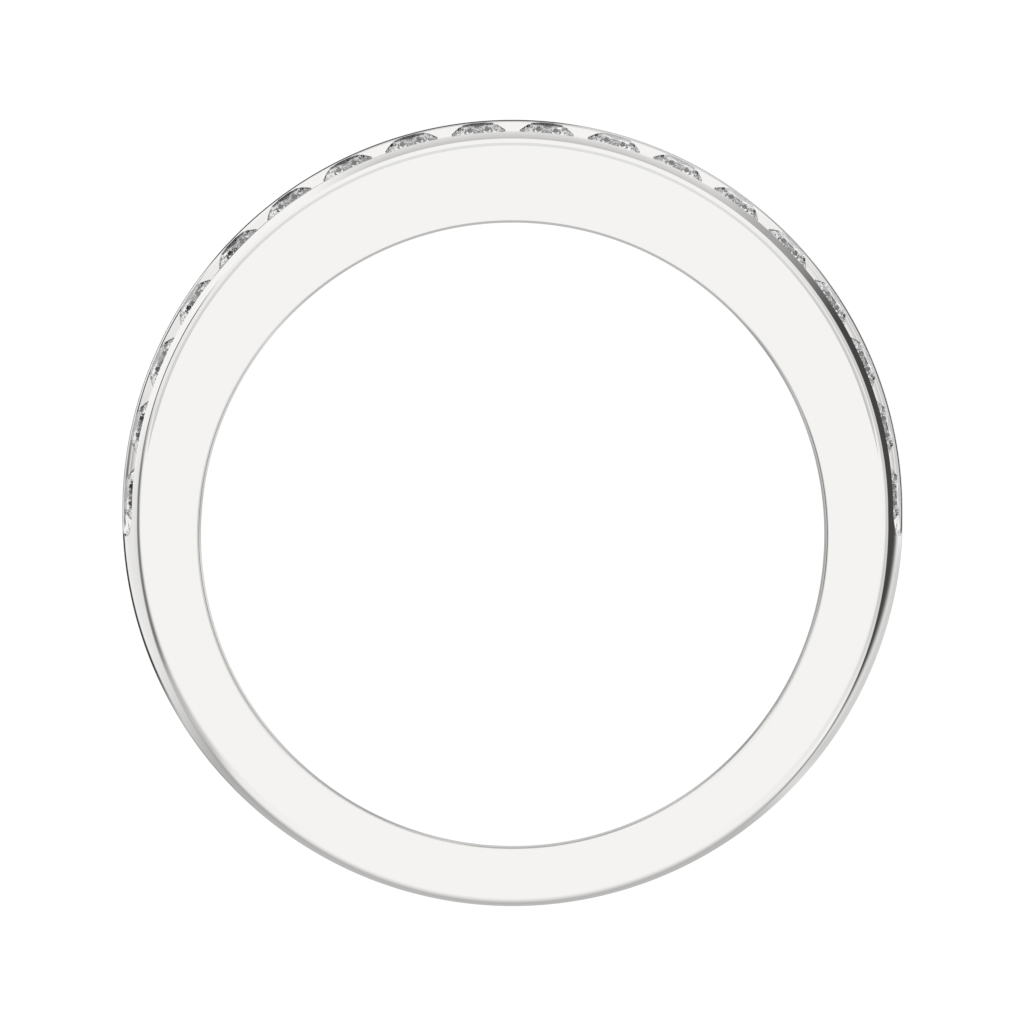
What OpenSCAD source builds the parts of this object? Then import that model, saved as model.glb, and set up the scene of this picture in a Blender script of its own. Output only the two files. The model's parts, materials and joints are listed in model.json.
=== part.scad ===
// Channel-set band ring lying on its side: millimetres, +Z along the finger hole.
// The stones' centre is towards +Y and the lower side face rests on z = 0.

/* [Band] */
// Radius of the finger hole
finger_r = 8.675; // [7.5:0.025:8.8]
// Width of the band along the finger
band_w = 4.2; // [4:0.1:5]
// Radius of the crest, over the finger and under it
crest_r = 10.83; // [10.6:0.01:11.2]
// Straight run of the crest between its two arcs, at the sides
crest_run = 0.16; // [0.1:0.01:0.4]
// How far the finger hole lies below the middle of the outline
finger_drop = 0.595; // [0.4:0.005:0.65]
// Height of the dome over the finger
dome_over = 0.53; // [0.4:0.01:0.6]
// Height of the dome under the finger
dome_under = 0.1; // [0.08:0.01:0.4]
// Rounding between a side face and the dome, over the finger
round_over = 0.15; // [0.1:0.01:0.25]
// The same rounding under the finger, where it is widest
round_under = 0.34; // [0.1:0.01:0.4]
// Bevel at each end of the finger hole
hole_bevel = 0.08; // [0.05:0.01:0.15]

/* [Stones] */
// Stones in each of the two rows
row_stones = 18; // [12:1:18]
// Angle from one stone to the next
stone_pitch = 10.32; // [9.6:0.02:10.4]
// Girdle diameter of a stone
stone_d = 1.5; // [1.3:0.05:1.5]
// Table width as a share of the diameter
table_share = 0.6; // [0.5:0.01:0.64]
// Crown height as a share of the diameter
crown_share = 0.133; // [0.1:0.001:0.16]
// Pavilion depth as a share of the diameter
pavilion_share = 0.4; // [0.39:0.01:0.45]
// Girdle thickness as a share of the diameter
girdle_share = 0.03; // [0.02:0.005:0.04]

/* [Channels] */
// Distance from the middle of the band to the middle of a row
row_offset = 0.97; // [0.95:0.01:1.05]
// Radius at which the middle of a stone's girdle lies
girdle_r = 10.49; // [10.42:0.01:10.52]
// How far a stone leans out towards its side face
row_tilt = 9; // [6:1:12]
// Overlap of the channel's lips over a stone's edge
lip_overlap = 0.07; // [0.05:0.01:0.1]
// Clearance between a stone and its channel
seat_gap = 0.025; // [0.02:0.005:0.04]
// Depth of the channel below the girdle
channel_depth = 0.74; // [0.72:0.01:0.9]
// Length of the channel left free past the last stone
channel_spare = 0.38; // [0.3:0.02:0.5]

/* [Hidden] */
$fn = 128;
// Centres of the crest's two arcs, and the height of the band's middle
arc_top = [0, crest_run / 2];
arc_bottom = [0, -crest_run / 2];
mid_z = band_w / 2;
// Inner radius of the blank, well inside the finger hole
core_margin = 0.4;
core_r = finger_r - finger_drop - crest_run / 2 - core_margin;
// How far a solid that cuts runs past the surface
past = 1;
// Angles of the first and last stone, from the right-hand side around
first_angle = 90 - stone_pitch * (row_stones - 1) / 2;
last_angle = 180 - first_angle;

// A stone's sizes: its crown and pavilion slopes set where the smaller facets meet
stone_r = stone_d / 2;
table_r = table_share * stone_r;
crown_h = crown_share * stone_d;
girdle_h = girdle_share * stone_d;
pavilion_h = pavilion_share * stone_d;
crown_slope = crown_h / (stone_r - table_r);
pavilion_slope = pavilion_h / stone_r;
facet_step = 45;
half_step = facet_step / 2;
// The facets are turned so that two main ones, and not one, face each side of the band
facet_turn = half_step;
star_share = 0.4;
star_r = (1 - star_share) * table_r * cos(half_step) + star_share * stone_r;
star_z = girdle_h / 2 + crown_h - (star_r * cos(half_step) - table_r) * crown_slope;
lower_share = 0.25;
lower_r = lower_share * stone_r;
lower_z = -girdle_h / 2 - (stone_r - lower_r * cos(half_step)) * pavilion_slope;

// The channel's half outline: lip, groove for the girdle, bearing under it and floor
bearing_w = 0.15;
floor_inset = 0.28;
lip_r = stone_r - lip_overlap;
groove_r = stone_r + seat_gap;
bearing_r = stone_r - bearing_w;
floor_r = stone_r - floor_inset;
groove_h = girdle_h / 2 + seat_gap / 3;
lip_z = groove_h + (groove_r - lip_r) * crown_slope;
bearing_z = -groove_h - (groove_r - bearing_r) * pavilion_slope;
channel_top = 0.8;
// Turn from the last stone to the centre of the channel's round end, which is a touch narrower
end_angle = (channel_spare + lip_overlap) / girdle_r * 180 / PI;
end_trim = 0.02;

// Sections in the lower half, and points along each section's dome and roundings
loft_steps = 36;
dome_steps = 10;
round_steps = 4;

// Radius of the circle across the band that rises by h from the side faces to the crest
function dome_circle(h) = (mid_z * mid_z + h * h) / (2 * h);

// Radius from the ring's axis to the centre of that circle
function dome_centre(h) = crest_r - dome_circle(h);

// Outline of one section of the band as [radius, height] points, from the core around and back,
// with a dome that rises by h and edges rounded by e
function section(h, e) =
    let (
        // Radius from the ring's axis to the centre of the rounding, and the end of the dome's arc
        round_centre = dome_centre(h) + sqrt(pow(dome_circle(h) - e, 2) - pow(mid_z - e, 2)),
        reach = asin((mid_z - e) / (dome_circle(h) - e))
    )
    concat(
        [[core_r, 0]],
        [for (i = [0:round_steps - 1])
            let (a = -90 + (90 - reach) * i / round_steps)
            [round_centre + e * cos(a), e + e * sin(a)]],
        [for (i = [0:dome_steps])
            let (a = -reach + 2 * reach * i / dome_steps)
            [dome_centre(h) + dome_circle(h) * cos(a), mid_z + dome_circle(h) * sin(a)]],
        [for (i = [1:round_steps])
            let (a = reach + (90 - reach) * i / round_steps)
            [round_centre + e * cos(a), band_w - e + e * sin(a)]],
        [[core_r, band_w]]
    );

// One section stood up at an angle around a centre
function placed(points, angle, centre) =
    [for (p = points) [centre[0] + p[0] * cos(angle), centre[1] + p[0] * sin(angle), p[1]]];

// Section at an angle below the horizontal, between the one over the finger and the one under it
function section_below(angle) =
    section(
        dome_over + (dome_under - dome_over) * sin(angle),
        round_over + (round_under - round_over) * sin(angle)
    );

// Lower half of the band, where the dome flattens and the edges get rounder towards the bottom
module lower_half() {
    rings = concat(
        [placed(section_below(0), 180, arc_top)],
        [for (i = [0:loft_steps])
            placed(section_below(180 * i / loft_steps), 180 + 180 * i / loft_steps, arc_bottom)],
        [placed(section_below(0), 360, arc_top)]
    );
    n = len(rings[0]);
    last = len(rings) - 1;
    polyhedron(
        points = [for (r = rings) each r],
        faces = concat(
            [[for (j = [n - 1:-1:0]) j]],
            [for (i = [0:last - 1], j = [0:n - 1])
                [i * n + j, i * n + (j + 1) % n, (i + 1) * n + (j + 1) % n, (i + 1) * n + j]],
            [[for (j = [0:n - 1]) last * n + j]]
        )
    );
}

// Upper half of the band, turned about the centre of the crest's upper arc
module upper_half() {
    translate([arc_top[0], arc_top[1], 0])
        rotate_extrude(angle = 180)
            polygon(section(dome_over, round_over));
}

// Finger hole with a bevel at each end, as the solid that is cut away
module finger_hole() {
    translate([0, -finger_drop, 0])
        rotate_extrude()
            polygon([
                [0, -past],
                [finger_r + hole_bevel + past, -past],
                [finger_r, hole_bevel],
                [finger_r, band_w - hole_bevel],
                [finger_r + hole_bevel + past, band_w + past],
                [0, band_w + past],
            ]);
}

// Outline of the channel on one side of a stone's axis, as [distance, height] from the girdle
function channel_half(trim) = [
    [lip_r - trim, channel_top],
    [lip_r - trim, lip_z],
    [groove_r - trim, groove_h],
    [groove_r - trim, -groove_h],
    [bearing_r - trim, bearing_z],
    [floor_r - trim, -channel_depth],
];

// Both sides of the channel, turned to the row's lean and set at its place in the band
function channel_outline() =
    let (half = channel_half(0), n = len(half))
    [for (p = concat(half, [for (i = [n - 1:-1:0]) [-half[i][0], half[i][1]]]))
        [
            girdle_r + p[1] * cos(row_tilt) - p[0] * sin(row_tilt),
            mid_z + row_offset + p[1] * sin(row_tilt) + p[0] * cos(row_tilt),
        ]];

// Sets its children where the girdle of a stone at this angle lies, with +Z along its axis
module in_row(angle) {
    translate([arc_top[0], arc_top[1], mid_z])
        rotate([0, 0, angle])
            translate([girdle_r, 0, row_offset])
                rotate([0, 90 - row_tilt, 0])
                    children();
}

// Channel of the upper row with its rounded ends, as the solid that is cut away
module channel() {
    translate([arc_top[0], arc_top[1], 0])
        rotate([0, 0, first_angle - end_angle])
            rotate_extrude(angle = last_angle - first_angle + 2 * end_angle)
                polygon(channel_outline());
    for (angle = [first_angle - end_angle, last_angle + end_angle])
        in_row(angle)
            rotate_extrude()
                polygon(concat(
                    [[0, channel_top]],
                    channel_half(end_trim),
                    [[0, -channel_depth]]
                ));
}

// Sets its children in the upper row, or mirrored in the lower one
module on_side(upper) {
    translate([0, 0, upper ? 0 : band_w])
        mirror([0, 0, upper ? 0 : 1])
            children();
}

module band() {
    color("gainsboro")
        difference() {
            union() {
                upper_half();
                lower_half();
            }
            finger_hole();
            for (upper = [true, false])
                on_side(upper) channel();
        }
}

// A point on a stone at a radius, a number of facet steps around and a height
function facet_point(radius, steps, height) =
    let (angle = steps * facet_step + facet_turn)
    [radius * cos(angle), radius * sin(angle), height];

// Round brilliant with 57 facets, its girdle's middle at the origin and its table up
module brilliant() {
    table = [for (k = [0:7]) facet_point(table_r, k, girdle_h / 2 + crown_h)];
    star = [for (k = [0:7]) facet_point(star_r, k + 0.5, star_z)];
    girdle_top = [for (k = [0:15]) facet_point(stone_r, k / 2, girdle_h / 2)];
    girdle_low = [for (k = [0:15]) facet_point(stone_r, k / 2, -girdle_h / 2)];
    lower = [for (k = [0:7]) facet_point(lower_r, k + 0.5, lower_z)];
    culet = [[0, 0, -girdle_h / 2 - pavilion_h]];
    // Index of the first point of each group in the list of points
    s = len(table);
    t = s + len(star);
    u = t + len(girdle_top);
    v = u + len(girdle_low);
    tip = v + len(lower);
    polyhedron(
        points = concat(table, star, girdle_top, girdle_low, lower, culet),
        faces = concat(
            [[for (k = [7:-1:0]) k]],
            [for (k = [0:7]) [k, (k + 1) % 8, s + k]],
            [for (k = [0:7]) [k, s + k, t + 2 * k, s + (k + 7) % 8]],
            [for (k = [0:7]) [s + k, t + 2 * k + 1, t + 2 * k]],
            [for (k = [0:7]) [s + k, t + (2 * k + 2) % 16, t + 2 * k + 1]],
            [for (k = [0:15]) [t + k, t + (k + 1) % 16, u + (k + 1) % 16, u + k]],
            [for (k = [0:7]) [u + 2 * k, u + 2 * k + 1, v + k]],
            [for (k = [0:7]) [u + 2 * k + 1, u + (2 * k + 2) % 16, v + k]],
            [for (k = [0:7]) [u + 2 * k, v + k, tip, v + (k + 7) % 8]]
        )
    );
}

// One stone of a row, counted from the right-hand end
module stone(upper, i) {
    color("azure")
        on_side(upper)
            in_row(first_angle + (i - 1) * stone_pitch)
                brilliant();
}

band();
for (i = [1:row_stones]) {
    stone(true, i);
    stone(false, i);
}
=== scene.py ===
"""Looks of a channel-set band ring that lies on one of its side faces.

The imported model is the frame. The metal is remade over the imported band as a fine, smooth mesh,
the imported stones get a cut-stone finish, and a white studio with a camera is set around them.
Sizes are in millimetres and angles in degrees, until a mesh or a camera is made.
"""

import json
import logging
import math
from dataclasses import dataclass
from enum import Enum

import bmesh
import bpy
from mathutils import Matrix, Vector


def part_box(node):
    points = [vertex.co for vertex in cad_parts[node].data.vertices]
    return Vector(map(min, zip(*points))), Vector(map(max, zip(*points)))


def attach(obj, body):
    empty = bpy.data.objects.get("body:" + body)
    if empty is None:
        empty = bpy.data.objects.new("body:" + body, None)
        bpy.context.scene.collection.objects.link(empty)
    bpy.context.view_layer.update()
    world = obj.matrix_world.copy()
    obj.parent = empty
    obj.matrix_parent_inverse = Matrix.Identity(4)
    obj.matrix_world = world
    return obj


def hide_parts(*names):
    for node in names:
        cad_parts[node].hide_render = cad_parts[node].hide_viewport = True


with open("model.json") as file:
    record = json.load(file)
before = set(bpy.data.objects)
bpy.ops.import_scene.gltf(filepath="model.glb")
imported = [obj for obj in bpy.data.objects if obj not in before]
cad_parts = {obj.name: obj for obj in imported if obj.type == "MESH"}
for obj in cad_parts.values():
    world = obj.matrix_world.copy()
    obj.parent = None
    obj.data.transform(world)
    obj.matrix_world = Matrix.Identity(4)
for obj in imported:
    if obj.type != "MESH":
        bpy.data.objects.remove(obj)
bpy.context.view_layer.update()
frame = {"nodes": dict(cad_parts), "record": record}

MM = 0.001
BODY = "root"
Point = tuple[float, float]
log = logging.getLogger("band_ring")


class Row(Enum):
    """The two rows of stones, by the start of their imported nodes' names."""

    UPPER = "upper_stone_"
    LOWER = "lower_stone_"


class Finish(Enum):
    """The band's parts with a finish of their own, by the number of their material; the tones of the floor
    and the score are painted shade.
    """

    POLISH = 0
    FLOOR = 1
    SCORE = 2


class Value:
    """A socket that shader arithmetic can be written with."""

    def __init__(self, graph: "NodeGraph", socket: bpy.types.NodeSocket) -> None:
        """Wraps one output socket of a graph's node."""
        self.graph = graph
        self.socket = socket

    def __add__(self, other: "Value | float") -> "Value":
        """Sum."""
        return self.graph.maths("ADD", self, other)

    def __sub__(self, other: "Value | float") -> "Value":
        """Difference."""
        return self.graph.maths("SUBTRACT", self, other)

    def __rsub__(self, other: float) -> "Value":
        """Difference from a number."""
        return self.graph.maths("SUBTRACT", other, self)

    def __mul__(self, other: "Value | float") -> "Value":
        """Product."""
        return self.graph.maths("MULTIPLY", self, other)

    def __abs__(self) -> "Value":
        """Size without its sign."""
        return self.graph.maths("ABSOLUTE", self)

    __radd__ = __add__
    __rmul__ = __mul__

    def eased(self, low: float, high: float) -> "Value":
        """Smooth step of the value.

        Args:
            low: where the step is 0.
            high: where the step is 1, above or below low.

        Returns:
            A value from 0 to 1.
        """
        step = self.graph.node(
            "ShaderNodeMapRange",
            {"interpolation_type": "SMOOTHSTEP"},
            {"Value": self, "From Min": low, "From Max": high},
        )
        return Value(self.graph, step.outputs["Result"])


class NodeGraph:
    """The nodes of one material or of the world."""

    def __init__(self, tree: bpy.types.NodeTree) -> None:
        """Starts from an empty tree."""
        tree.nodes.clear()
        self.tree = tree

    def node(self, kind: str, settings: dict | None = None, sockets: dict | None = None) -> bpy.types.Node:
        """Adds a node.

        Args:
            kind: the node's type.
            settings: properties, which are set first.
            sockets: values or links of the inputs, by name or number.

        Returns:
            The new node.
        """
        made = self.tree.nodes.new(kind)
        for name, setting in (settings or {}).items():
            setattr(made, name, setting)
        for name, value in (sockets or {}).items():
            if isinstance(value, Value):
                self.tree.links.new(value.socket, made.inputs[name])
            else:
                made.inputs[name].default_value = value
        return made

    def maths(self, operation: str, *operands: "Value | float") -> Value:
        """Adds a Math node.

        Args:
            operation: the node's operation.
            operands: its values, links or numbers.

        Returns:
            The node's result.
        """
        made = self.node("ShaderNodeMath", {"operation": operation}, dict(enumerate(operands)))
        return Value(self, made.outputs[0])

    def dot(self, vector: Value, direction: Vector) -> Value:
        """Dot product of a linked vector and a fixed one.

        Args:
            vector: the linked vector.
            direction: the fixed vector.

        Returns:
            The product as a value.
        """
        sockets = {0: vector, 1: tuple(direction)}
        made = self.node("ShaderNodeVectorMath", {"operation": "DOT_PRODUCT"}, sockets)
        return Value(self, made.outputs["Value"])

    def place(self, output: str = "Object") -> Value:
        """The place or direction that a texture is read at."""
        return Value(self, self.node("ShaderNodeTexCoord").outputs[output])

    def finish(self, shader: bpy.types.Node, output: str = "ShaderNodeOutputMaterial") -> None:
        """Links a shader to the tree's output node."""
        self.tree.links.new(shader.outputs[0], self.node(output).inputs["Surface"])

    def surface(self, sockets: dict) -> None:
        """Gives a material its Principled shader, with values or links of its sockets by name."""
        self.finish(self.node("ShaderNodeBsdfPrincipled", {}, sockets))


def new_material(name: str) -> tuple[bpy.types.Material, NodeGraph]:
    """Makes a material without any nodes.

    Args:
        name: what it is called.

    Returns:
        The material and the graph of its nodes.
    """
    made = bpy.data.materials.new(name)
    made.use_nodes = True
    return made, NodeGraph(made.node_tree)


def as_object(shape: bmesh.types.BMesh, name: str) -> bpy.types.Object:
    """Sets a finished shape in the scene, shaded smooth, and frees it.

    Args:
        shape: the shape, in metres.
        name: what the object and its mesh are called.

    Returns:
        The new object.
    """
    mesh = bpy.data.meshes.new(name)
    shape.to_mesh(mesh)
    shape.free()
    mesh.shade_smooth()
    made = bpy.data.objects.new(name, mesh)
    bpy.context.scene.collection.objects.link(made)
    return made


@dataclass(frozen=True)
class WhiteGold:
    """Polished white gold with the faint waves and hairlines that a buffing wheel leaves."""

    colour: tuple[float, float, float] = (0.905, 0.896, 0.879)
    roughness: float = 0.035
    worn_roughness: float = 0.075
    wear_from: float = 0.35
    wear_full: float = 0.75
    cloud_size: float = 1.6
    cloud_detail: float = 3.0
    hairline_size: float = 0.03
    hairline_detail: float = 2.0
    hairline_depth: float = 0.00002
    hairline_strength: float = 0.25
    slot: str = "white_gold"

    def material(self) -> bpy.types.Material:
        """Makes the finish as a node material.

        Returns:
            The material.
        """
        made, graph = new_material("polished_white_gold")
        clouds = self._noise(graph, self.cloud_size, self.cloud_detail)
        hairlines = self._noise(graph, self.hairline_size, self.hairline_detail)
        wear = clouds.eased(self.wear_from, self.wear_full)
        relief = graph.node("ShaderNodeBump", {}, {
            "Strength": self.hairline_strength,
            "Distance": self.hairline_depth * MM,
            "Height": hairlines,
        })
        graph.surface({
            "Base Color": (*self.colour, 1.0),
            "Metallic": 1.0,
            "Roughness": self.roughness + wear * (self.worn_roughness - self.roughness),
            "Normal": Value(graph, relief.outputs["Normal"]),
        })
        return made

    @staticmethod
    def _noise(graph: NodeGraph, size: float, detail: float) -> Value:
        """Noise with grains of a size in millimetres."""
        sockets = {"Vector": graph.place(), "Scale": 1 / (size * MM), "Detail": detail}
        return Value(graph, graph.node("ShaderNodeTexNoise", {}, sockets).outputs[0])


@dataclass(frozen=True)
class DullShadedMetal:
    """Metal that the buffing wheel doesn't reach, rougher than the rest, with a greyer tone that is
    painted shade.
    """

    name: str
    tone: float
    roughness: float

    def material(self) -> bpy.types.Material:
        """Makes the finish as a node material.

        Returns:
            The material.
        """
        made, graph = new_material(self.name)
        graph.surface({
            "Base Color": (self.tone, self.tone, self.tone, 1.0),
            "Metallic": 1.0,
            "Roughness": self.roughness,
        })
        return made


@dataclass(frozen=True)
class CutStone:
    """Clear, colourless cut stone with a high refractive index."""

    colour: tuple[float, float, float] = (0.985, 0.99, 1.0)
    refraction: float = 2.417

    def material(self) -> bpy.types.Material:
        """Makes the finish as a node material.

        Returns:
            The material.
        """
        made, graph = new_material("clear_cut_stone")
        graph.surface({
            "Base Color": (*self.colour, 1.0),
            "Roughness": 0.0,
            "IOR": self.refraction,
            "Transmission Weight": 1.0,
        })
        return made


@dataclass(frozen=True)
class Swept:
    """A size that changes round the ring, from its sides to its top and its bottom."""

    side: float
    over: float
    under: float
    under_power: float = 1.2

    def at(self, angle: float) -> float:
        """Reads the size off at one place.

        Args:
            angle: where round the ring it lies.

        Returns:
            The size there.
        """
        sine = math.sin(math.radians(angle))
        if sine > 0:
            return self.side + (self.over - self.side) * sine
        return self.side + (self.under - self.side) * abs(sine) ** self.under_power


@dataclass(frozen=True)
class Dome:
    """Arc across the band at one place round it, from edge to edge over the crest."""

    crest: float
    height: float
    half_width: float

    @property
    def radius(self) -> float:
        """Radius of the arc."""
        return (self.half_width**2 + self.height**2) / (2 * self.height)

    @property
    def centre(self) -> float:
        """Distance from the ring's middle to the arc's centre."""
        return self.crest - self.radius

    def at(self, across: float) -> Point:
        """Point on the arc at a distance across from the middle of the band."""
        return (self.centre + math.sqrt(self.radius**2 - across**2), across)

    def reached(self, foot: Point, direction: Point) -> float:
        """How far a line from a point inside runs before it meets the arc.

        Args:
            foot: where the line starts.
            direction: its unit direction.

        Returns:
            The distance along the line.
        """
        out = (foot[0] - self.centre, foot[1])
        along = out[0] * direction[0] + out[1] * direction[1]
        return -along + math.sqrt(along**2 - out[0] ** 2 - out[1] ** 2 + self.radius**2)


def rounded(start: Point, corner: Point, end: Point, steps: int) -> list[Point]:
    """Curve that rounds a corner.

    Args:
        start: where the curve leaves the first side.
        corner: the sharp corner.
        end: where it meets the second side.
        steps: how many pieces it has.

    Returns:
        The curve's points, with both ends.
    """
    points = []
    for i in range(steps + 1):
        t = i / steps
        shares = ((1 - t) ** 2, 2 * t * (1 - t), t**2)
        points.append(tuple(
            sum(share * p[axis] for share, p in zip(shares, (start, corner, end))) for axis in (0, 1)
        ))
    return points


@dataclass(frozen=True)
class Channel:
    """Groove that holds one row of stones, seen across the band.

    Points in it are (across, up) from the middle of a stone's girdle, and up is the stone's axis.
    Side -1 is the wall at the ridge in the middle of the band, and side 1 the wall at the rail.
    """

    row_offset: float = 0.97
    girdle_r: float = 10.49
    lean: float = 9.0
    first_stone: float = 2.28
    stone_pitch: float = 10.32
    lip_r: float = 0.68
    seat_r: float = 0.775
    bearing_r: float = 0.6
    floor_r: float = 0.47
    seat_h: float = 0.031
    lip_h: float = 0.07
    bearing_h: float = -0.18
    depth: float = 0.74
    ridge_top_r: float = 0.7
    ridge_lip_r: float = 0.683
    ridge_foot_r: float = 0.636
    ridge_reach: float = 0.31
    ridge_fall: float = 0.16
    rail_round: float = 0.015
    round_steps: int = 8

    def placed(self, across: float, up: float) -> Point:
        """Turns a point of the groove to the row's lean and sets it in the band."""
        lean = math.radians(self.lean)
        return (
            self.girdle_r + up * math.cos(lean) - across * math.sin(lean),
            self.row_offset + up * math.sin(lean) + across * math.cos(lean),
        )

    def corner(self, dome: Dome, across: float) -> Point:
        """Where a wall of the groove meets the dome."""
        lean = math.radians(self.lean)
        return self.placed(across, dome.reached(self.placed(across, 0), (math.cos(lean), math.sin(lean))))

    def seat(self, angle: float) -> float:
        """Half-width of the round seat that the nearest stone's girdle has.

        Args:
            angle: where round the ring it lies.

        Returns:
            The half-width there, 0 between stones.
        """
        nearest = round((angle - self.first_stone) / self.stone_pitch)
        along = math.radians(angle - self.first_stone - nearest * self.stone_pitch) * self.girdle_r
        return math.sqrt(max(0.0, self.seat_r**2 - along**2))

    def lip(self, dome: Dome, side: int, spread: float) -> list[Point]:
        """Rounded edge of the groove.

        Args:
            dome: the arc across the band here.
            side: which wall it belongs to.
            spread: share of the groove's full width.

        Returns:
            Points from the dome down to the wall.
        """
        if side < 0:
            top_r, foot_r = self.ridge_top_r, self.ridge_lip_r
            reach, fall = self.ridge_reach, self.ridge_fall
        else:
            top_r, foot_r = self.lip_r, self.lip_r
            reach, fall = self.rail_round, self.rail_round
        corner = self.corner(dome, side * top_r * spread)
        foot = self.placed(side * foot_r * spread, self.lip_h)
        start = dome.at(corner[1] + side * min(reach, top_r * spread / 2))
        share = min(fall, top_r * spread / 2) / math.dist(corner, foot)
        end = tuple(c + (f - c) * share for c, f in zip(corner, foot))
        return rounded(start, corner, end, self.round_steps)

    def wall(self, side: int, spread: float, seat: float) -> list[Point]:
        """One wall from its lip down to the floor.

        Args:
            side: which wall it is.
            spread: share of the groove's full width.
            seat: half-width of the stone's seat here.

        Returns:
            Points down the wall.
        """
        lip_r, foot_r = (self.ridge_lip_r, self.ridge_foot_r) if side < 0 else (self.lip_r, self.lip_r)
        steps = [
            (lip_r, self.lip_h),
            (max(seat, (lip_r + foot_r) / 2), self.seat_h),
            (max(seat, foot_r), -self.seat_h),
            (self.bearing_r, self.bearing_h),
            (self.floor_r, -self.depth),
        ]
        return [self.placed(side * across * spread, up) for across, up in steps]

    def cut(self, dome: Dome, angle: float, spread: float | None) -> list[Point]:
        """The groove's points from the ridge over its floor to the rail.

        Args:
            dome: the arc across the band here.
            angle: where round the ring it lies.
            spread: share of the groove's full width, or None where the band is whole.

        Returns:
            As many points everywhere, all on one spot where the band is whole.
        """
        count = 2 * (self.round_steps + 1 + len(self.wall(1, 1, 0)))
        if spread is None:
            return [self.corner(dome, 0)] * count
        seat = self.seat(angle)
        inner = self.lip(dome, -1, spread) + self.wall(-1, spread, seat)
        outer = self.lip(dome, 1, spread) + self.wall(1, spread, seat)
        return inner + outer[::-1]


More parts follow.
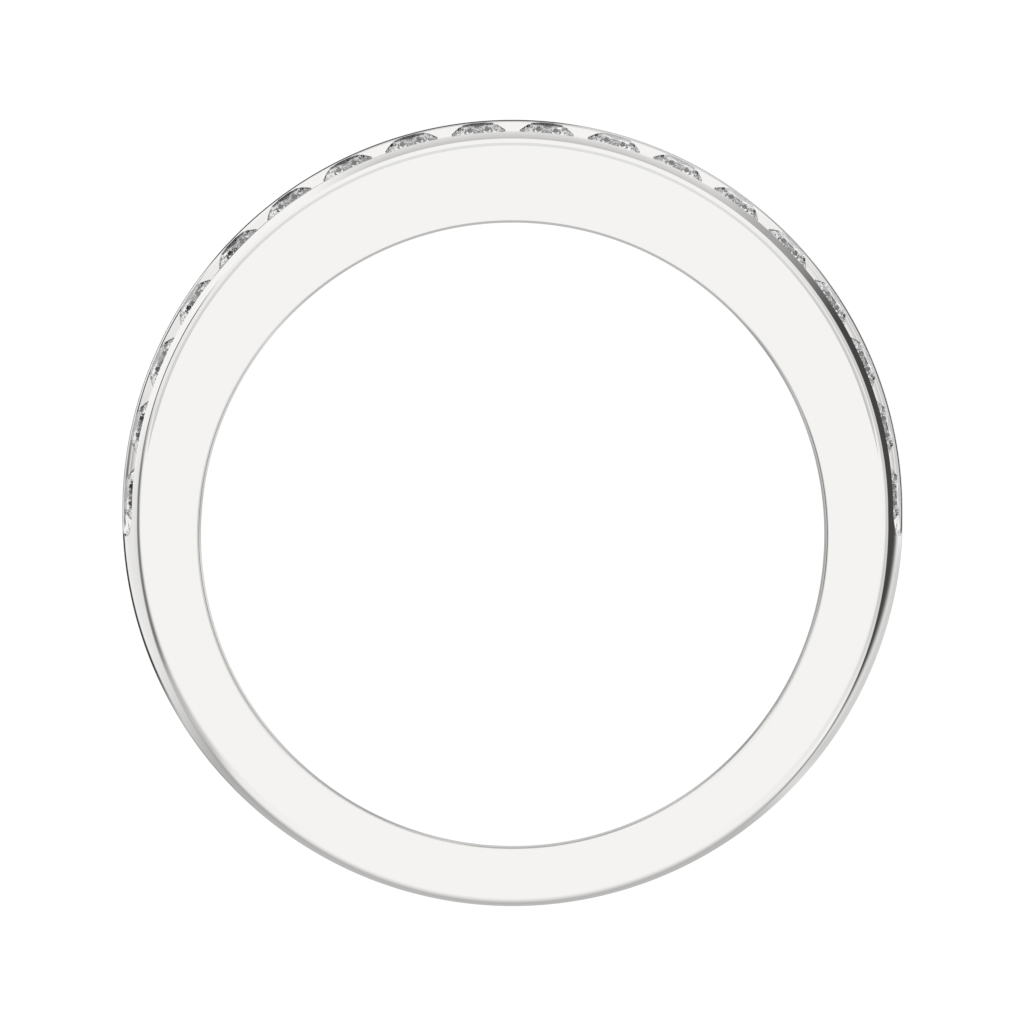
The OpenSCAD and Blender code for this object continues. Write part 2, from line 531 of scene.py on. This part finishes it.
@dataclass
class Band:
    """The metal of the ring: a domed band with a groove for each of the two rows."""

    dome: Swept = Swept(side=0.465, over=0.581, under=0.1)
    edge_round: Swept = Swept(side=0.115, over=0.14, under=0.34)
    hole_round: Swept = Swept(side=0.07, over=0.05, under=0.1)
    score_width: float = 0.08
    score_depth: float = 0.05
    score_start: float = 8.0
    score_full: float = 15.0
    score_least: float = 0.05
    channel_spare: float = 0.45
    tip_slack: float = 1e-6
    flat_margin: float = 0.004
    weld: float = 0.0001
    pitch_stations: int = 20
    spare_stations: int = 5
    tip_stations: int = 12
    shank_stations: int = 330
    ridge_steps: int = 6
    rail_steps: int = 5
    edge_steps: int = 9
    hole_steps: int = 5
    sharp_angle: float = 32.0
    channel: Channel = Channel()

    def __post_init__(self) -> None:
        """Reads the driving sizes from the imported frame."""
        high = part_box("band")[1] / MM
        bore = next(m for m in frame["record"]["mounts"] if m["name"] == "finger_bore")
        self.crest_r = high.x
        self.half_run = high.y - high.x
        self.half_width = high.z / 2
        self.finger_r = bore["dims"]["r_mm"]
        self.finger_y = bore["pos_m"][1] / MM

    @property
    def end_angle(self) -> float:
        """Angle at which the round end of a groove has its centre, on the right-hand side."""
        return self.channel.first_stone - math.degrees(self.channel_spare / self.channel.girdle_r)

    @property
    def tip_turn(self) -> float:
        """Angle from that centre to the groove's tip."""
        return math.degrees(self.channel.lip_r / self.channel.girdle_r)

    def stations(self) -> list[float]:
        """Chooses where the ring is cut into sections, closest at the grooves' tips.

        Returns:
            The angles in order round the ring, from the right-hand tip.
        """
        first, last = self.end_angle, 180 - self.end_angle
        first_stone, last_stone = self.channel.first_stone, 180 - self.channel.first_stone
        tip = [self.tip_turn * math.sin(math.pi / 2 * i / self.tip_stations)
               for i in range(1, self.tip_stations + 1)]
        row = round((last_stone - first_stone) / self.channel.stone_pitch) * self.pitch_stations
        ends = self._spaced(first, first_stone, self.spare_stations)
        stones = self._spaced(first_stone, last_stone, row)
        spare = self._spaced(last_stone, last, self.spare_stations)
        under = self._spaced(last + self.tip_turn, first - self.tip_turn + 360, self.shank_stations)
        right_tip = [first - turn for turn in reversed(tip)]
        left_tip = [last] + [last + turn for turn in tip]
        return right_tip + ends + stones + spare + left_tip + under[1:]

    @staticmethod
    def _spaced(start: float, stop: float, steps: int) -> list[float]:
        """Evenly spaced angles from the start up to the last before the stop."""
        return [start + (stop - start) * i / steps for i in range(steps)]

    def spread(self, angle: float) -> float | None:
        """Share of the grooves' full width.

        Args:
            angle: where round the ring it lies.

        Returns:
            The share there, or None past the grooves' tips.
        """
        turned = (angle + 90) % 360 - 90
        beyond = max(self.end_angle - turned, turned - (180 - self.end_angle)) / self.tip_turn
        if beyond > 1 + self.tip_slack:
            return None
        return math.sqrt(max(0.0, 1 - max(0.0, beyond) ** 2))

    def crest_at(self, angle: float) -> float:
        """Radius of the crest, whose two round halves have short straight stretches between them.

        Args:
            angle: where round the ring it lies.

        Returns:
            The distance from the centre of the upper arc.
        """
        sine = math.sin(math.radians(angle))
        if sine >= 0:
            return self.crest_r
        straight = self.crest_r / math.cos(math.radians(angle)) if abs(sine) < 1 else math.inf
        run = 2 * self.half_run
        if abs(straight * sine) < run:
            return abs(straight)
        return -run * sine + math.sqrt((run * sine) ** 2 - run**2 + self.crest_r**2)

    def bore_at(self, angle: float) -> float:
        """Radius of the finger hole.

        Args:
            angle: where round the ring it lies.

        Returns:
            The distance from the centre of the crest's upper arc.
        """
        shift = self.half_run - self.finger_y
        drop = shift * math.sin(math.radians(angle))
        return -drop + math.sqrt(drop**2 - shift**2 + self.finger_r**2)

    def dome_at(self, angle: float) -> Dome:
        """Arc across the band at an angle, highest over the finger and lowest under it."""
        return Dome(self.crest_at(angle), self.dome.at(angle), self.half_width)

    def score_at(self, angle: float) -> float:
        """Share of its full size that the line scored in the side faces has, 0 past the line's ends."""
        start, full, here = (math.sin(math.radians(a)) for a in (self.score_start, self.score_full, angle))
        return min(1.0, max(0.0, (here - start) / (full - start)))

    def half_section(self, angle: float) -> tuple[list[Point], range, range]:
        """Section of the band's upper half, from the crest round to the finger hole.

        Args:
            angle: where round the ring it lies.

        Returns:
            The points as (radius, height from the middle), the edges that only a groove has, and
            the edges of the scored line.
        """
        dome = self.dome_at(angle)
        cut = self.channel.cut(dome, angle, self.spread(angle))
        edge = self._edge(dome, angle)
        score = self._score(edge[-1][0], angle)
        hole = self._hole(angle)
        ridge_z, rail_z, edge_z = cut[0][1], cut[-1][1], edge[0][1]
        ridge = [dome.at(ridge_z * i / self.ridge_steps) for i in range(self.ridge_steps)]
        rail = [dome.at(rail_z + (edge_z - rail_z) * i / self.rail_steps)
                for i in range(1, self.rail_steps)]
        face = [
            (score[-1][0] - self.flat_margin, self.half_width),
            (hole[0][0] + self.flat_margin, self.half_width),
        ]
        outside = ridge + cut + rail + edge
        only_cut = range(len(ridge), len(ridge) + len(cut) - 1)
        scored = range(len(outside), len(outside) + len(score) - 1)
        return outside + score + face + hole, only_cut, scored

    def _edge(self, dome: Dome, angle: float) -> list[Point]:
        """Rounded edge between the dome and a side face.

        Args:
            dome: the arc across the band here.
            angle: where round the ring it lies.

        Returns:
            Points from the dome to the side face.
        """
        edge_round = self.edge_round.at(angle)
        centre_z = self.half_width - edge_round
        reach = math.asin(centre_z / (dome.radius - edge_round))
        centre_r = dome.centre + (dome.radius - edge_round) * math.cos(reach)
        turns = [reach + (math.pi / 2 - reach) * i / self.edge_steps for i in range(self.edge_steps + 1)]
        return [self._on_arc((centre_r, centre_z), edge_round, turn) for turn in turns]

    def _score(self, face_r: float, angle: float) -> list[Point]:
        """Line scored in a side face close to its outer edge, narrower towards its ends.

        Args:
            face_r: radius at which the side face starts.
            angle: where round the ring it lies.

        Returns:
            The line's outer edge, its bottom and its inner edge, almost on one spot past its ends.
        """
        share = self.score_at(angle)
        middle_r = face_r - self.flat_margin - self.score_width / 2
        half = self.score_width / 2 * max(share, self.score_least)
        return [
            (middle_r + half, self.half_width),
            (middle_r, self.half_width - self.score_depth * share),
            (middle_r - half, self.half_width),
        ]

    def _hole(self, angle: float) -> list[Point]:
        """Rounded edge of the finger hole and its wall.

        Args:
            angle: where round the ring it lies.

        Returns:
            Points from the side face down to the middle of the band.
        """
        bore, hole_round = self.bore_at(angle), self.hole_round.at(angle)
        centre = (bore + hole_round, self.half_width - hole_round)
        turns = [math.pi / 2 * (1 + i / self.hole_steps) for i in range(self.hole_steps + 1)]
        edge = [self._on_arc(centre, hole_round, turn) for turn in turns]
        return edge + [(bore, centre[1] - self.flat_margin), (bore, 0.0)]

    @staticmethod
    def _on_arc(centre: Point, radius: float, turn: float) -> Point:
        """Point on an arc at a turn in radians."""
        return (centre[0] + radius * math.cos(turn), centre[1] + radius * math.sin(turn))

    def build(self) -> bpy.types.Object:
        """Makes the band's mesh as sections joined round the ring.

        Returns:
            The band, without its finishes.
        """
        shape = bmesh.new()
        stations = self.stations()
        rings = []
        for angle in stations:
            upper, only_cut, scored = self.half_section(angle)
            lower = [(r, -u) for r, u in reversed(upper[1:-1])]
            rings.append([shape.verts.new(self._stood_up(p, angle)) for p in upper + lower])
        count = len(rings[0])
        cut_edges = self._both_halves(only_cut, count)
        # The edge in the middle of a groove is its floor.
        floor_edges = self._both_halves([only_cut[len(only_cut) // 2]], count)
        score_edges = self._both_halves(scored, count)
        grooved = [self.spread(angle) is not None for angle in stations]
        for i, ring in enumerate(rings):
            following = rings[(i + 1) % len(rings)]
            in_groove = grooved[i] and grooved[(i + 1) % len(rings)]
            scored_here = self.score_at(stations[i]) > 0
            for j in range(count):
                if in_groove or j not in cut_edges:
                    k = (j + 1) % count
                    face = shape.faces.new((ring[j], ring[k], following[k], following[j]))
                    # Faces of the groove floor and of the scored line get materials whose darker tones are
                    # painted shade.
                    if j in floor_edges:
                        face.material_index = Finish.FLOOR.value
                    elif scored_here and j in score_edges:
                        face.material_index = Finish.SCORE.value
        bmesh.ops.remove_doubles(shape, verts=shape.verts, dist=self.weld * MM)
        loose = [v for v in shape.verts if not v.link_faces]
        bmesh.ops.delete(shape, geom=loose, context="VERTS")
        bmesh.ops.recalc_face_normals(shape, faces=shape.faces)
        made = as_object(shape, "white_gold_band")
        made.data.set_sharp_from_angle(angle=math.radians(self.sharp_angle))
        return made

    @staticmethod
    def _both_halves(edges: range | list[int], count: int) -> set[int]:
        """Edges of a section's upper half and their mirror images, by number out of its count."""
        return set(edges) | {count - 1 - edge for edge in edges}

    def _stood_up(self, point: Point, angle: float) -> Vector:
        """Sets a section's point in the frame.

        Args:
            point: its radius and its height from the middle of the band.
            angle: where round the ring the section lies.

        Returns:
            Its place in metres.
        """
        turn = math.radians(angle)
        radius, height = point
        return Vector((
            radius * math.cos(turn),
            self.half_run + radius * math.sin(turn),
            self.half_width + height,
        )) * MM

    def dress(self, piece: bpy.types.Object, finishes: dict[Finish, WhiteGold | DullShadedMetal]) -> None:
        """Gives the band's parts their finishes, the groove floor and the scored line with painted shade,
        and sets it in the frame.

        Args:
            piece: the band.
            finishes: what each of its parts gets.
        """
        for part in Finish:
            piece.data.materials.append(finishes[part].material())
        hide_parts("band")
        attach(piece, BODY)
        log.info("%s: %d faces", piece.name, len(piece.data.polygons))


@dataclass
class StoneRows:
    """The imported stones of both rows, which keep their facets."""

    rows: tuple[Row, ...] = (Row.UPPER, Row.LOWER)

    def stones(self, row: Row) -> list[bpy.types.Object]:
        """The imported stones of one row."""
        return [node for name, node in frame["nodes"].items() if name.startswith(row.value)]

    def dress(self, finish: CutStone) -> None:
        """Gives every stone its finish.

        Args:
            finish: what they all get.
        """
        material = finish.material()
        for row in self.rows:
            stones = self.stones(row)
            for stone in stones:
                stone.data.materials.clear()
                stone.data.materials.append(material)
            log.info("%s: %d stones", row.name.lower(), len(stones))


@dataclass(frozen=True)
class Card:
    """A soft-edged card that darkens one part of the white studio.

    Its turn is the angle round the ring of its middle, its tilt the angle from straight up, and
    width and height are the angles that it spans. The blurs are how wide its edges fade.
    """

    turn: float
    tilt: float
    width: float
    height: float
    tone: float
    side_blur: float = 10.0
    end_blur: float = 8.0

    def cover(self, graph: NodeGraph, view: Value, tilt: Value) -> Value:
        """How much of the card is met in a direction, from 0 to 1.

        Args:
            graph: the world's nodes.
            view: the direction.
            tilt: its angle from straight up.

        Returns:
            The share.
        """
        turn = math.radians(self.turn)
        ahead = graph.dot(view, Vector((math.cos(turn), math.sin(turn), 0)))
        aside = graph.dot(view, Vector((-math.sin(turn), math.cos(turn), 0)))
        off_turn = abs(graph.maths("ARCTAN2", aside, ahead))
        off_tilt = abs(tilt - math.radians(self.tilt))
        in_width = self._within(off_turn, self.width, self.side_blur)
        return in_width * self._within(off_tilt, self.height, self.end_blur)

    @staticmethod
    def _within(off: Value, span: float, blur: float) -> Value:
        """Share that fades from 1 to 0 where an offset passes half of a span."""
        return off.eased(math.radians(span + blur) / 2, math.radians(span - blur) / 2)


@dataclass
class Studio:
    """White room round the ring, its pale floor and the camera above it."""

    light: tuple[float, float, float] = (1.0, 1.0, 1.0)
    cards: tuple[Card, ...] = (
        Card(turn=4.5, tilt=134.5, width=69, height=27, tone=0.15, side_blur=20, end_blur=10),
        Card(turn=4, tilt=130, width=102, height=44, tone=0.42, side_blur=16, end_blur=12),
        Card(turn=8, tilt=75, width=60, height=90, tone=0.72, side_blur=24, end_blur=24),
        Card(turn=0, tilt=35, width=90, height=50, tone=0.88, side_blur=40, end_blur=20),
        Card(turn=180, tilt=35, width=90, height=50, tone=0.88, side_blur=40, end_blur=20),
        Card(turn=338, tilt=180, width=36, height=50, tone=0.66, side_blur=10, end_blur=10),
        Card(turn=30, tilt=180, width=80, height=20, tone=0.7, side_blur=16, end_blur=6),
        Card(turn=186, tilt=76, width=38, height=80, tone=0.2, side_blur=16, end_blur=60),
        Card(turn=157, tilt=98, width=26, height=34, tone=0.05, side_blur=10),
        Card(turn=205, tilt=135, width=60, height=60, tone=0.85, side_blur=24, end_blur=40),
        Card(turn=111.5, tilt=155, width=60, height=38, tone=0.05, side_blur=6, end_blur=4),
        Card(turn=160, tilt=152, width=40, height=10, tone=0.1, side_blur=8, end_blur=4),
        Card(turn=69, tilt=152, width=30, height=10, tone=0.2, side_blur=10, end_blur=4),
        Card(turn=72, tilt=170, width=26, height=13, tone=0.3, side_blur=10, end_blur=3),
        Card(turn=175, tilt=170, width=66, height=13, tone=0.05, side_blur=12, end_blur=3),
        Card(turn=168, tilt=180, width=70, height=6, tone=0.4, side_blur=20, end_blur=2),
        Card(turn=212, tilt=180, width=24, height=20, tone=0.6, side_blur=16, end_blur=6),
        Card(turn=213, tilt=76, width=14, height=80, tone=0.65, side_blur=8, end_blur=60),
        Card(turn=90, tilt=180, width=100, height=10, tone=0.58, side_blur=30, end_blur=4),
        Card(turn=263.5, tilt=165, width=107, height=148, tone=0.5, side_blur=24, end_blur=82),
        Card(turn=86, tilt=118, width=62, height=26, tone=0.57, side_blur=16, end_blur=32),
    )
    floor_r: float = 800.0
    floor_sides: int = 96
    cove_r: float = 60.0
    cove_steps: int = 12
    wall_h: float = 600.0
    floor_gap: float = 0.002
    floor_weld: float = 0.001
    floor_tone: float = 0.2
    floor_glow: float = 0.9
    camera_x: float = -0.018
    camera_y: float = 0.025
    camera_height: float = 650.0
    clip_near: float = 10.0
    clip_far: float = 10000.0
    pixels_a_mm: float = 36.15
    picture_pixels: int = 1024
    metal_bounces: int = 12
    stone_bounces: int = 24

    def build_light(self) -> None:
        """Makes the white surroundings with their darker cards."""
        world = bpy.data.worlds.new("white_studio")
        world.use_nodes = True
        world.cycles.sampling_method = "NONE"
        bpy.context.scene.world = world
        graph = NodeGraph(world.node_tree)
        view = graph.place("Generated")
        tilt = graph.maths("ARCCOSINE", graph.dot(view, Vector((0, 0, 1))))
        glow: Value | float = 1.0
        for card in self.cards:
            glow = glow * (1 - card.cover(graph, view, tilt) * (1 - card.tone))
        sockets = {"Color": (*self.light, 1.0), "Strength": glow}
        graph.finish(graph.node("ShaderNodeBackground", {}, sockets), "ShaderNodeOutputWorld")

    def build_floor(self) -> None:
        """Makes the floor, which curves up into a wall all round."""
        flat_r = self.floor_r - self.cove_r
        profile = [(0.0, 0.0), (flat_r, 0.0)]
        for i in range(1, self.cove_steps + 1):
            turn = math.pi / 2 * i / self.cove_steps
            profile.append((
                flat_r + self.cove_r * math.sin(turn),
                self.cove_r - self.cove_r * math.cos(turn),
            ))
        profile.append((self.floor_r, self.wall_h))
        shape = bmesh.new()
        points = [shape.verts.new(Vector((r, 0, z - self.floor_gap)) * MM) for r, z in profile]
        edges = [shape.edges.new(ends) for ends in zip(points, points[1:])]
        bmesh.ops.spin(
            shape,
            geom=points + edges,
            cent=(0, 0, 0),
            axis=(0, 0, 1),
            angle=math.tau,
            steps=self.floor_sides,
        )
        bmesh.ops.remove_doubles(shape, verts=shape.verts, dist=self.floor_weld * MM)
        floor = as_object(shape, "studio_floor")
        # The camera sees the floor, and the metal and the stones don't.
        for kind in ("diffuse", "glossy", "transmission", "shadow", "volume_scatter"):
            setattr(floor, f"visible_{kind}", False)
        floor.data.materials.append(self._floor_paint())

    def _floor_paint(self) -> bpy.types.Material:
        """White paper lit from behind, so bright that the ring's shadow doesn't show on it.

        Returns:
            The material.
        """
        made, graph = new_material("pale_floor")
        graph.surface({
            "Base Color": (self.floor_tone, self.floor_tone, self.floor_tone, 1.0),
            "Roughness": 1.0,
            "Specular IOR Level": 0.0,
            "Emission Color": (1.0, 1.0, 1.0, 1.0),
            "Emission Strength": self.floor_glow,
        })
        return made

    def build_camera(self) -> None:
        """Sets the camera straight over the ring, with its long lens."""
        data = bpy.data.cameras.new("camera")
        data.lens = self.pixels_a_mm * data.sensor_width / self.picture_pixels * self.camera_height
        data.clip_start = self.clip_near * MM
        data.clip_end = self.clip_far * MM
        camera = bpy.data.objects.new("camera", data)
        top_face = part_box("band")[1].z / MM
        camera.location = Vector((self.camera_x, self.camera_y, top_face + self.camera_height)) * MM
        bpy.context.scene.collection.objects.link(camera)
        bpy.context.scene.camera = camera

    def set_picture(self) -> None:
        """Chooses how light becomes picture tones, and how deep it is followed into the stones."""
        scene = bpy.context.scene
        scene.view_settings.view_transform = "Standard"
        scene.cycles.use_denoising = True
        scene.cycles.max_bounces = self.stone_bounces
        scene.cycles.glossy_bounces = self.metal_bounces
        scene.cycles.transmission_bounces = self.stone_bounces


def main() -> None:
    """Builds the ring and its studio."""
    studio = Studio()
    studio.set_picture()
    studio.build_light()
    studio.build_floor()
    studio.build_camera()
    band = Band()
    band.dress(band.build(), {
        Finish.POLISH: WhiteGold(),
        # The groove floor's dark tone is painted shade in the recess under the stones; its roughness is
        # its own finish.
        Finish.FLOOR: DullShadedMetal("dull_shaded_groove_floor", tone=0.3, roughness=0.5),
        # The scored line's greyer, neutral tone is painted shade in the crease.
        Finish.SCORE: DullShadedMetal("shaded_scored_metal", tone=0.86, roughness=0.06),
    })
    StoneRows().dress(CutStone())


if __name__ == "__main__":
    logging.basicConfig(level=logging.INFO, format="%(name)s: %(message)s")
    main()
